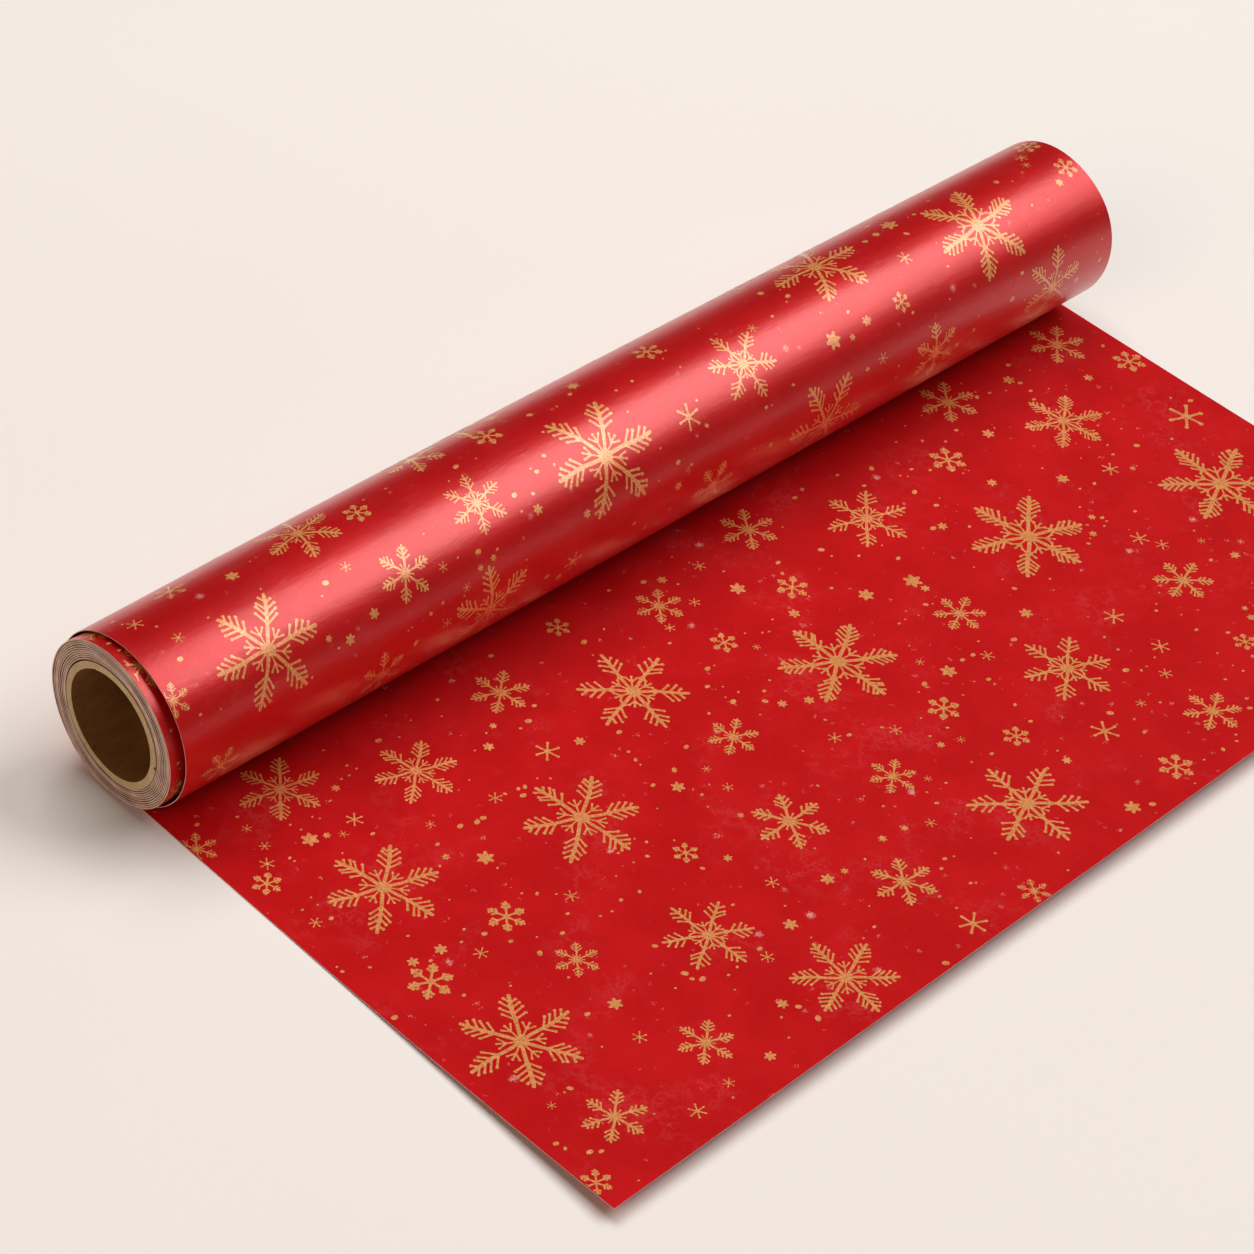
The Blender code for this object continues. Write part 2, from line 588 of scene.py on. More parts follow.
def placed(name: str, data: bpy.types.ID) -> bpy.types.Object:
    """Put a mesh, a lamp or a camera in the scene.

    Args:
        name: The object's name.
        data: What it holds.

    Returns:
        The object.
    """
    made = bpy.data.objects.new(name, data)
    bpy.context.scene.collection.objects.link(made)
    return made


def around(
    axis: tuple[float, float],
    radius: float | np.ndarray,
    angle: np.ndarray,
    across: np.ndarray,
) -> np.ndarray:
    """Points round an axis that runs along Y.

    Args:
        axis: X and Z of the axis.
        radius: Distance of each point from it.
        angle: Angle of each point, round from +X up, in radians.
        across: Y of each point.

    Returns:
        The points, in the shape that the three make together.
    """
    x, z = axis[0] + radius * np.cos(angle), axis[1] + radius * np.sin(angle)
    return np.stack(np.broadcast_arrays(x, across, z), -1)


def core_axis() -> tuple[float, float]:
    """X and Z of the axis of the core's solids."""
    low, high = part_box("core_outer_ply")
    return (low[0] + high[0]) / 2.0, (low[2] + high[2]) / 2.0


def grid_faces(rows: int, columns: int) -> np.ndarray:
    """Quads over a grid of points numbered row by row.

    Args:
        rows: Rows of points.
        columns: Points in a row.

    Returns:
        Four point numbers for each quad.
    """
    number = np.arange(rows * columns).reshape(rows, columns)
    corners = (number[:-1, :-1], number[1:, :-1], number[1:, 1:], number[:-1, 1:])
    return np.stack(corners, -1).reshape(-1, 4)


def thin_body(
    name: str,
    front: np.ndarray,
    back: np.ndarray,
    face: bpy.types.Material,
    rim: bpy.types.Material,
) -> bpy.types.Object:
    """A closed body between two grids of points, with a rim round their border.

    Args:
        name: The piece's name.
        front: Points of one face, by row and column.
        back: Points of the other face, in the same order.
        face: Material of both faces.
        rim: Material of the rim.

    Returns:
        The piece.
    """
    rows, columns = front.shape[:2]
    count = rows * columns
    number = np.arange(count).reshape(rows, columns)
    loop = np.concatenate(
        [number[0, :-1], number[:-1, -1], number[-1, :0:-1], number[:0:-1, 0]]
    )
    after = np.roll(loop, -1)
    faces = grid_faces(rows, columns)
    rims = np.stack([loop, after, after + count, loop + count], -1)
    quads = np.concatenate([faces, faces[:, ::-1] + count, rims])
    mesh = bpy.data.meshes.new(name)
    points = np.concatenate([front.reshape(-1, 3), back.reshape(-1, 3)])
    mesh.from_pydata(points.tolist(), [], quads.tolist())
    kinds = np.zeros(len(quads), np.int32)
    kinds[2 * len(faces) :] = 1
    mesh.polygons.foreach_set("material_index", kinds)
    mesh.materials.append(face)
    mesh.materials.append(rim)
    shape = bmesh.new()
    shape.from_mesh(mesh)
    bmesh.ops.remove_doubles(shape, verts=shape.verts, dist=WELD_DISTANCE)
    bmesh.ops.dissolve_degenerate(shape, edges=shape.edges, dist=WELD_DISTANCE)
    bmesh.ops.recalc_face_normals(shape, faces=shape.faces)
    shape.to_mesh(mesh)
    shape.free()
    mesh.shade_smooth()
    mesh.set_sharp_from_angle(angle=SHARP_FROM)
    return placed(name, mesh)


class FlakeStyle(Enum):
    """The snowflakes and specks of the pattern.

    The value is how many points the grid has along its side that the outline is drawn on.
    """

    FERN = 112
    PLUME = 116
    LACE = 113
    SPRIG = 74
    TWIG = 46
    SPARK = 28
    BLOB = 17
    DOT = 9


@dataclass(frozen=True)
class Stroke:
    """A line with round ends and a dot at its far end, in shares of a flake's radius."""

    start: np.ndarray
    end: np.ndarray
    half_width: float
    dot: float

    def distance(self, u: np.ndarray, v: np.ndarray) -> np.ndarray:
        """Distance to the stroke's outline.

        Args:
            u: First coordinate of each point.
            v: Second coordinate of each point.

        Returns:
            The distance at each point, below zero inside the stroke.
        """
        run = self.end - self.start
        share = ((u - self.start[0]) * run[0] + (v - self.start[1]) * run[1]) / (run @ run)
        share = np.clip(share, 0.0, 1.0)
        off = np.hypot(u - self.start[0] - share * run[0], v - self.start[1] - share * run[1])
        end = np.hypot(u - self.end[0], v - self.end[1])
        return np.minimum(off - self.half_width, end - self.dot)


def way(angle: float, length: float = 1.0) -> np.ndarray:
    """The vector of a length at an angle."""
    return np.array([math.cos(angle), math.sin(angle)]) * length


@dataclass(frozen=True)
class FlakePlan:
    """A six-armed snowflake: its lines and what branches off them, in shares of its radius."""

    arm: float
    twig: float
    dot: float
    hub: float
    branches: tuple[tuple[float, float], ...] = ()
    lean: float = 48.0
    short_arm: float = 0.0
    fork: float = 0.0
    loops: bool = False

    FORK_AT = 0.62
    FORK_LEAN = 40.0
    LOOP_AT = 0.72
    LOOP_PAST = 0.08
    ARM_STRAY = 0.06
    LEAN_STRAY = 4.0
    ROOT_STRAY = 0.012
    LENGTH_STRAY = (0.86, 1.08)

    def strokes(self, chance: np.random.Generator) -> list[Stroke]:
        """All its lines, no two arms quite alike.

        Args:
            chance: Source of the small differences.

        Returns:
            The lines.
        """
        lines = []
        for number in range(6):
            turn = number * SIXTH_TURN
            reach = 1.0 - self.dot - self.ARM_STRAY * chance.random()
            lines.append(Stroke(np.zeros(2), way(turn, reach), self.arm, self.dot))
            for at, length in self.branches:
                for side in (1.0, -1.0):
                    stray = chance.uniform(-self.LEAN_STRAY, self.LEAN_STRAY)
                    lean = turn + side * math.radians(self.lean + stray)
                    stray = chance.uniform(-self.ROOT_STRAY, self.ROOT_STRAY)
                    root = way(turn, at * reach + stray)
                    tip = root + way(lean, length * chance.uniform(*self.LENGTH_STRAY))
                    lines.append(Stroke(root, tip, self.twig, self.dot))
            if self.short_arm:
                lines += self.short_strokes(turn + SIXTH_TURN / 2.0)
        return lines

    def short_strokes(self, turn: float) -> list[Stroke]:
        """The short arm between two long ones, with its forks and loops.

        Args:
            turn: The way that the arm points, in radians.

        Returns:
            Its lines.
        """
        knot = way(turn, self.short_arm)
        lines = [Stroke(np.zeros(2), knot, 0.8 * self.twig, 0.85 * self.dot)]
        for side in (1.0, -1.0):
            if self.fork:
                root = self.FORK_AT * knot
                tip = root + way(turn + side * math.radians(self.FORK_LEAN), self.fork)
                lines.append(Stroke(root, tip, 0.8 * self.twig, 0.8 * self.dot))
            if self.loops:
                end = way(turn + side * SIXTH_TURN / 2.0, self.short_arm + self.LOOP_PAST)
                width = 0.7 * self.twig
                lines.append(Stroke(self.LOOP_AT * knot, end, width, width))
        return lines


FLAKE_PLANS = {
    FlakeStyle.FERN: FlakePlan(
        arm=0.031,
        twig=0.018,
        dot=0.029,
        hub=0.105,
        branches=((0.45, 0.24), (0.58, 0.24), (0.71, 0.20), (0.84, 0.13)),
        short_arm=0.38,
        fork=0.15,
    ),
    FlakeStyle.PLUME: FlakePlan(
        arm=0.032,
        twig=0.018,
        dot=0.027,
        hub=0.120,
        branches=((0.42, 0.17), (0.53, 0.23), (0.64, 0.21), (0.75, 0.17), (0.86, 0.11)),
        short_arm=0.40,
        fork=0.15,
        loops=True,
    ),
    FlakeStyle.LACE: FlakePlan(
        arm=0.031,
        twig=0.019,
        dot=0.030,
        hub=0.110,
        branches=((0.50, 0.25), (0.65, 0.22), (0.80, 0.15)),
        lean=50.0,
        short_arm=0.36,
        fork=0.14,
        loops=True,
    ),
    FlakeStyle.SPRIG: FlakePlan(
        arm=0.039,
        twig=0.026,
        dot=0.040,
        hub=0.115,
        branches=((0.47, 0.24), (0.64, 0.22), (0.81, 0.14)),
        short_arm=0.29,
    ),
    FlakeStyle.TWIG: FlakePlan(
        arm=0.056,
        twig=0.046,
        dot=0.074,
        hub=0.150,
        branches=((0.52, 0.24), (0.76, 0.17)),
    ),
    FlakeStyle.SPARK: FlakePlan(arm=0.072, twig=0.0, dot=0.120, hub=0.220),
}


@dataclass(frozen=True)
class FlakeOutline:
    """One snowflake as flat polygons inside the unit circle."""

    points: np.ndarray
    faces: list[list[int]]

    REACH = 1.12
    SWAY = 0.012

    @classmethod
    def drawn(cls, style: FlakeStyle, hand: int) -> FlakeOutline:
        """Draw a snowflake.

        Args:
            style: Which snowflake.
            hand: Number of the drawing, because no two are quite alike.

        Returns:
            Its outline, filled.
        """
        side = np.linspace(-cls.REACH, cls.REACH, style.value)
        u, v = np.meshgrid(side, side, indexing="ij")
        swayed_u = u + cls.SWAY * np.sin(7.0 * v + 1.7 * hand)
        swayed_v = v + cls.SWAY * np.sin(8.0 * u + 2.3 * hand)
        return cls.filled(cls.distance(style, swayed_u, swayed_v, hand), side)

    @staticmethod
    def distance(style: FlakeStyle, u: np.ndarray, v: np.ndarray, hand: int) -> np.ndarray:
        """Distance to a flake's outline.

        Args:
            style: Which snowflake.
            u: First coordinate of each point.
            v: Second coordinate of each point.
            hand: Number of the drawing.

        Returns:
            The distance at each point, below zero inside the flake.
        """
        radius, angle = np.hypot(u, v), np.arctan2(v, u)
        if style is FlakeStyle.BLOB:
            return radius - 0.76 - 0.22 * np.cos(6.0 * angle)
        if style is FlakeStyle.DOT:
            return radius - 0.82 - 0.13 * np.cos(2.0 * angle + hand)
        plan = FLAKE_PLANS[style]
        best = radius - plan.hub
        for stroke in plan.strokes(np.random.default_rng(100 + 10 * style.value + hand)):
            best = np.minimum(best, stroke.distance(u, v))
        return best

    @classmethod
    def filled(cls, distance: np.ndarray, side: np.ndarray) -> FlakeOutline:
        """Fill the outline where the distance is below zero, cell by cell.

        Args:
            distance: Distance at each point of a square grid.
            side: Coordinates along the grid's side.

        Returns:
            The filled outline.
        """
        numbers: dict[tuple, int] = {}
        points: list[tuple[float, float]] = []
        faces: list[list[int]] = []

        def vertex(key: tuple, place: tuple[float, float]) -> int:
            """Number a point at a corner or on an edge of the grid.

            Args:
                key: The corner, or the two corners that its edge joins.
                place: Where it lies.

            Returns:
                Its number, the same each time that the key comes up.
            """
            if key not in numbers:
                numbers[key] = len(points)
                points.append(place)
            return numbers[key]

        inside = distance < 0.0
        busy = inside[:-1, :-1] | inside[1:, :-1] | inside[1:, 1:] | inside[:-1, 1:]
        for i, j in np.argwhere(busy):
            ring = [(i, j), (i + 1, j), (i + 1, j + 1), (i, j + 1)]
            face = []
            for near, far in zip(ring, ring[1:] + ring[:1]):
                if inside[near]:
                    face.append(vertex(near, (side[near[0]], side[near[1]])))
                if inside[near] != inside[far]:
                    share = distance[near] / (distance[near] - distance[far])
                    place = tuple(
                        side[a] + share * (side[b] - side[a]) for a, b in zip(near, far)
                    )
                    face.append(vertex(tuple(sorted((near, far))), place))
            faces.append(face)
        return cls(np.array(points), faces)


@dataclass(frozen=True)
class Flake:
    """A snowflake on the web: its place and span in millimetres, its turn in degrees."""

    across: float
    along: float
    span: float
    turn: float
    style: FlakeStyle


FERN, PLUME, LACE = FlakeStyle.FERN, FlakeStyle.PLUME, FlakeStyle.LACE
SPRIG, TWIG, SPARK = FlakeStyle.SPRIG, FlakeStyle.TWIG, FlakeStyle.SPARK
BLOB, DOT = FlakeStyle.BLOB, FlakeStyle.DOT

SHEET_FLAKES = (
    Flake(-190, 152, 39, 2, FERN),
    Flake(-179, 81, 38, 18, FERN),
    Flake(-190, 190, 21, 20, SPRIG),
    Flake(-150, 187, 19, 22, SPRIG),
    Flake(-155, 139, 15, 10, SPRIG),
    Flake(-194, 118, 15, 20, TWIG),
    Flake(-159, 113, 13, 10, TWIG),
    Flake(-112, 97, 40, 24, FERN),
    Flake(-118, 157, 31, 28, LACE),
    Flake(-100, 196, 34, 41, FERN),
    Flake(-138, 50, 29, 19, FERN),
    Flake(-93, 40, 21, 20, SPRIG),
    Flake(-176, 30, 29, 10, FERN),
    Flake(-205, 58, 10, 15, TWIG),
    Flake(-212, 34, 14, 5, SPRIG),
    Flake(-211, 204, 10, 10, TWIG),
    Flake(-63, 139, 26, 0, SPRIG),
    Flake(-59, 66, 39, 41, LACE),
    Flake(0, 182, 40, 39, LACE),
    Flake(4, 98, 42, 29, PLUME),
    Flake(61, 148, 34, 23, LACE),
    Flake(66, 54, 32, 17, LACE),
    Flake(-56, 180, 22, 5, SPRIG),
    Flake(-49, 101, 18, 25, SPRIG),
    Flake(-23, 146, 17, 25, SPRIG),
    Flake(14, 135, 12, 20, TWIG),
    Flake(54, 107, 19, 35, SPRIG),
    Flake(46, 176, 10, 10, SPARK),
    Flake(50, 202, 13, 20, TWIG),
    Flake(-54, 206, 10, 25, SPARK),
    Flake(-29, 209, 11, 5, SPRIG),
    Flake(22, 159, 10, 15, TWIG),
    Flake(-19, 68, 10, 0, TWIG),
    Flake(19, 63, 12, 20, TWIG),
    Flake(-23, 42, 18, 10, SPRIG),
    Flake(29, 33, 22, 5, SPRIG),
    Flake(54, 86, 7, 0, BLOB),
    Flake(81, 193, 21, 32, SPRIG),
    Flake(104, 95, 45, 20, PLUME),
    Flake(181, 119, 46, 37, PLUME),
    Flake(164, 61, 32, 22, PLUME),
    Flake(128, 144, 22, 42, SPRIG),
    Flake(113, 50, 14, 5, TWIG),
    Flake(202, 87, 15, 20, SPARK),
    Flake(138, 28, 24, 10, SPRIG),
    Flake(197, 30, 24, 20, SPRIG),
    Flake(211, 53, 13, 0, TWIG),
    Flake(151, 190, 36, 12, FERN),
    Flake(192, 176, 20, 25, SPRIG),
    Flake(118, 178, 9, 10, TWIG),
    Flake(109, 203, 15, 30, SPRIG),
    Flake(199, 203, 12, 0, TWIG),
    Flake(94, 161, 7, 10, SPARK),
    Flake(94, 141, 8, 20, SPARK),
    Flake(134, 120, 7, 5, SPARK),
    Flake(156, 89, 7, 15, SPARK),
    Flake(-171, 204, 6, 0, SPARK),
    Flake(-163, 173, 5, 15, SPARK),
    Flake(-159, 159, 5, 0, BLOB),
    Flake(-147, 91, 6, 10, BLOB),
    Flake(-96, 170, 5, 0, BLOB),
    Flake(-87, 154, 5, 5, SPARK),
    Flake(-98, 128, 9, 10, TWIG),
    Flake(-100, 69, 9, 15, SPARK),
    Flake(-73, 164, 5, 20, BLOB),
    Flake(-79, 106, 5, 0, BLOB),
    Flake(-167, 54, 6, 10, SPARK),
    Flake(-183, 52, 6, 0, BLOB),
    Flake(-140, 203, 4, 20, BLOB),
    Flake(-138, 119, 5, 0, SPARK),
    Flake(-175, 119, 5, 25, SPARK),
    Flake(-127, 74, 5, 10, SPARK),
    Flake(-113, 56, 4, 0, BLOB),
    Flake(-122, 191, 4, 0, BLOB),
    Flake(24, 205, 6, 10, BLOB),
    Flake(-30, 168, 4, 0, SPARK),
    Flake(-6, 132, 5, 10, SPARK),
    Flake(29, 124, 6, 0, BLOB),
    Flake(36, 81, 6, 20, BLOB),
    Flake(4, 52, 6, 10, BLOB),
    Flake(0, 146, 3, 0, BLOB),
    Flake(-24, 122, 5, 15, SPARK),
    Flake(72, 121, 5, 0, BLOB),
    Flake(-67, 116, 4, 10, SPARK),
    Flake(45, 127, 5, 0, SPARK),
    Flake(66, 175, 4, 10, SPARK),
    Flake(2, 36, 5, 0, SPARK),
    Flake(-57, 29, 9, 10, TWIG),
    Flake(84, 73, 4, 0, BLOB),
    Flake(116, 68, 4, 10, BLOB),
    Flake(138, 82, 5, 0, BLOB),
    Flake(153, 147, 4, 0, BLOB),
    Flake(136, 49, 5, 15, BLOB),
    Flake(191, 50, 4, 0, BLOB),
    Flake(166, 33, 5, 10, BLOB),
    Flake(175, 155, 5, 0, BLOB),
    Flake(209, 150, 6, 10, SPARK),
    Flake(172, 205, 5, 0, BLOB),
)


@dataclass(frozen=True)
class RollFlake:
    """A snowflake on the loose turn: millimetres across and in span, degrees round from +X up."""

    across: float
    angle: float
    span: float
    turn: float
    style: FlakeStyle


ROLL_FLAKES = (
    RollFlake(-176, 45, 39, 0, FERN),
    RollFlake(-33, 51, 44, 0, FERN),
    RollFlake(-121, 46, 20, 5, SPRIG),
    RollFlake(-85, 63, 23, 15, LACE),
    RollFlake(-140, 105, 29, 15, FERN),
    RollFlake(-91, -6, 35, 30, FERN),
    RollFlake(-136, -11, 20, 30, SPRIG),
    RollFlake(-200, -11, 15, 0, SPRIG),
    RollFlake(-212, 45, 12, 10, SPRIG),
    RollFlake(-62, 103, 11, 20, TWIG),
    RollFlake(-120, 96, 10, 10, TWIG),
    RollFlake(-55, -4, 8, 10, SPARK),
    RollFlake(-86, 122, 24, 10, SPRIG),
    RollFlake(-186, 116, 12, 0, SPRIG),
    RollFlake(4, 48, 10, 10, SPARK),
    RollFlake(35, 61, 29, 42, LACE),
    RollFlake(92, 102, 41, 0, FERN),
    RollFlake(159, 69, 43, 8, PLUME),
    RollFlake(65, -6, 40, 55, FERN),
    RollFlake(121, 3, 24, 30, SPRIG),
    RollFlake(10, -6, 20, 0, SPRIG),
    RollFlake(11, 104, 11, 10, TWIG),
    RollFlake(185, 3, 32, 15, FERN),
    RollFlake(109, 48, 8, 20, TWIG),
    RollFlake(74, 47, 7, 0, BLOB),
    RollFlake(122, 73, 6, 10, SPARK),
    RollFlake(132, 105, 7, 0, BLOB),
    RollFlake(212, 77, 10, 15, TWIG),
    RollFlake(212, 112, 11, 0, TWIG),
    RollFlake(-169, 98, 5, 0, BLOB),
    RollFlake(-148, 27, 4, 10, BLOB),
    RollFlake(-138, 66, 4, 0, SPARK),
    RollFlake(-66, 42, 4, 0, BLOB),
    RollFlake(-21, 108, 5, 10, BLOB),
    RollFlake(91, 48, 4, 0, BLOB),
    RollFlake(-205, 101, 6, 0, SPARK),
)


class WebPrint:
    """The gold pattern on one stretch of the web, gathered into one mesh."""

    DRAWINGS = 3
    TRIES = 4000
    CROWDING = 0.42
    LEAST_ROOM = 0.6

    def __init__(self, seed: int) -> None:
        """Start with nothing printed.

        Args:
            seed: Start of this print's own chance.
        """
        self.chance = np.random.default_rng(seed)
        self.flakes: list[Flake] = []
        self.outlines: dict[tuple[FlakeStyle, int], FlakeOutline] = {}

    def add(self, flakes: list[Flake] | tuple[Flake, ...]) -> None:
        """Print flakes at their places."""
        self.flakes.extend(flakes)

    def scatter(
        self, style: FlakeStyle, count: int, spans: tuple[float, float], area: Area
    ) -> None:
        """Print more of one style where there is room.

        Args:
            style: Which snowflake.
            count: How many to try for.
            spans: Smallest and largest span in millimetres.
            area: Lowest and highest across, then along, in millimetres.
        """
        tries = 0
        while count and tries < self.TRIES:
            tries += 1
            across = self.chance.uniform(area[0], area[1])
            along = self.chance.uniform(area[2], area[3])
            span = spans[0] + (spans[1] - spans[0]) * self.chance.random() ** 2
            room = (
                math.hypot(across - f.across, along - f.along) - self.CROWDING * (f.span + span)
                for f in self.flakes
            )
            if min(room, default=math.inf) > self.LEAST_ROOM:
                turn = self.chance.uniform(0.0, 60.0)
                self.flakes.append(Flake(across, along, span, turn, style))
                count -= 1

    def outline(self, style: FlakeStyle, hand: int) -> FlakeOutline:
        """A drawing of a style, made the first time that it is asked for.

        Args:
            style: Which snowflake.
            hand: Number of the drawing.

        Returns:
            Its outline.
        """
        key = (style, hand)
        if key not in self.outlines:
            self.outlines[key] = FlakeOutline.drawn(style, hand)
        return self.outlines[key]

    def build(
        self,
        name: str,
        lay: Lay,
        limits: Area,
        gold: bpy.types.Material,
        mirrored: bool,
    ) -> bpy.types.Object:
        """Lay every flake on the paper.

        Args:
            name: The piece's name.
            lay: Function from arrays of across and along, in metres, to points on the paper.
            limits: Lowest and highest across, then along, that the paper has, in metres.
            gold: The ink.
            mirrored: True if across, along and outward are a left-handed set.

        Returns:
            The piece.
        """
        points, faces, start = [], [], 0
        for number, flake in enumerate(self.flakes):
            drawing = self.outline(flake.style, number % self.DRAWINGS)
            turn = math.radians(flake.turn)
            spin = np.array([[math.cos(turn), math.sin(turn)], [-math.sin(turn), math.cos(turn)]])
            flat = drawing.points @ spin * (flake.span / 2.0)
            flat = (flat + (flake.across, flake.along)) * MM
            keep = (flat[:, 0] > limits[0]) & (flat[:, 0] < limits[1])
            keep &= (flat[:, 1] > limits[2]) & (flat[:, 1] < limits[3])
            points.append(lay(flat[:, 0], flat[:, 1]))
            faces += [
                [start + i for i in (face[::-1] if mirrored else face)]
                for face in drawing.faces
                if keep[face].all()
            ]
            start += len(flat)
        mesh = bpy.data.meshes.new(name)
        mesh.from_pydata(np.concatenate(points).tolist(), [], faces)
        mesh.materials.append(gold)
        shape = bmesh.new()
        shape.from_mesh(mesh)
        loose = [v for v in shape.verts if not v.link_faces]
        bmesh.ops.delete(shape, geom=loose, context="VERTS")
        shape.to_mesh(mesh)
        shape.free()
        mesh.shade_smooth()
        return placed(name, mesh)


@dataclass
class UnrolledSheet:
    """The free length of the web, flat on the table and curled up a little at its end."""

    tangent_x: float
    low_y: float
    high_y: float
    length: float
    curl_rise: float
    flat_length: float = 0.080
    swell: float = 0.00030
    swell_from: float = 0.03
    swell_over: float = 0.06
    solid_paper: float = 0.00015
    thickness: float = 0.00022
    ink_lift: float = 0.00005
    ink_margin: float = 0.0002
    feed_zone: float = 0.015
    fine_to: float = 0.02
    coarse_from: float = 0.022
    rows: tuple[int, int] = (14, 104)
    columns: int = 150
    seed: int = 11
    specks_from: float = 24.0 * MM
    specks_margin: float = 2.0 * MM

    @classmethod
    def from_frame(cls) -> UnrolledSheet:
        """Take the sizes from the sheet's solid."""
        low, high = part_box("unrolled_sheet")
        return cls(low[0], low[1], high[1], high[0] - low[0], high[2] - cls.solid_paper)

    def height(self, across: np.ndarray, along: np.ndarray) -> np.ndarray:
        """Height of the underside over the table.

        Args:
            across: Places across the web.
            along: Places along it.

        Returns:
            The height at each place.
        """
        share = np.clip((along - self.flat_length) / (self.length - self.flat_length), 0.0, 1.0)
        curl = self.curl_rise * share**2 * (0.96 + 0.05 * np.sin(14.0 * across + 0.8))
        swell = 0.5 + 0.5 * np.sin(31.0 * across + 9.0 * along) * np.sin(23.0 * along - 1.0)
        free = np.clip((along - self.swell_from) / self.swell_over, 0.0, 1.0)
        return curl + self.swell * swell * free

    def lay(self, across: np.ndarray, along: np.ndarray, lift: float) -> np.ndarray:
        """Points over the table that lie a lift above the sheet's underside."""
        rise = self.height(across, along) + lift
        return np.stack([self.tangent_x + along, across, rise], -1)

    def build(self, finishes: Finishes) -> list[bpy.types.Object]:
        """Make the sheet and its print.

        Args:
            finishes: The shared materials.

        Returns:
            The sheet and its print.
        """
        fine = np.linspace(0.0, self.fine_to, self.rows[0])
        along = np.append(fine, np.linspace(self.coarse_from, self.length, self.rows[1]))
        across = np.linspace(self.low_y, self.high_y, self.columns)
        a, c = np.meshgrid(along, across, indexing="ij")
        front, back = self.lay(c, a, self.thickness), self.lay(c, a, 0.0)
        face, rim = finishes.inner_paper, finishes.edge
        sheet = thin_body("unrolled_sheet_paper", front, back, face, rim)
        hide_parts("unrolled_sheet")
        ink = self.printed(finishes.gold)
        for piece in (sheet, ink):
            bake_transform(piece)
        return [sheet, ink]

    def printed(self, gold: bpy.types.Material) -> bpy.types.Object:
        """The pattern on the sheet's upper face.

        Args:
            gold: The ink.

        Returns:
            The print.
        """
        web = WebPrint(self.seed)
        web.add(SHEET_FLAKES)
        margin = self.specks_margin / MM
        sides = (self.low_y / MM + margin, self.high_y / MM - margin)
        area = (*sides, self.specks_from / MM, self.length / MM - margin)
        web.scatter(SPARK, 22, (3.0, 5.5), area)
        web.scatter(BLOB, 26, (2.4, 4.5), area)
        web.scatter(DOT, 330, (0.8, 2.6), area)
        lift = self.thickness + self.ink_lift
        sides = (self.low_y + self.ink_margin, self.high_y - self.ink_margin)
        limits = (*sides, self.feed_zone, self.length - self.ink_margin)
        return web.build(
            "sheet_snowflakes", lambda c, a: self.lay(c, a, lift), limits, gold, mirrored=True
        )


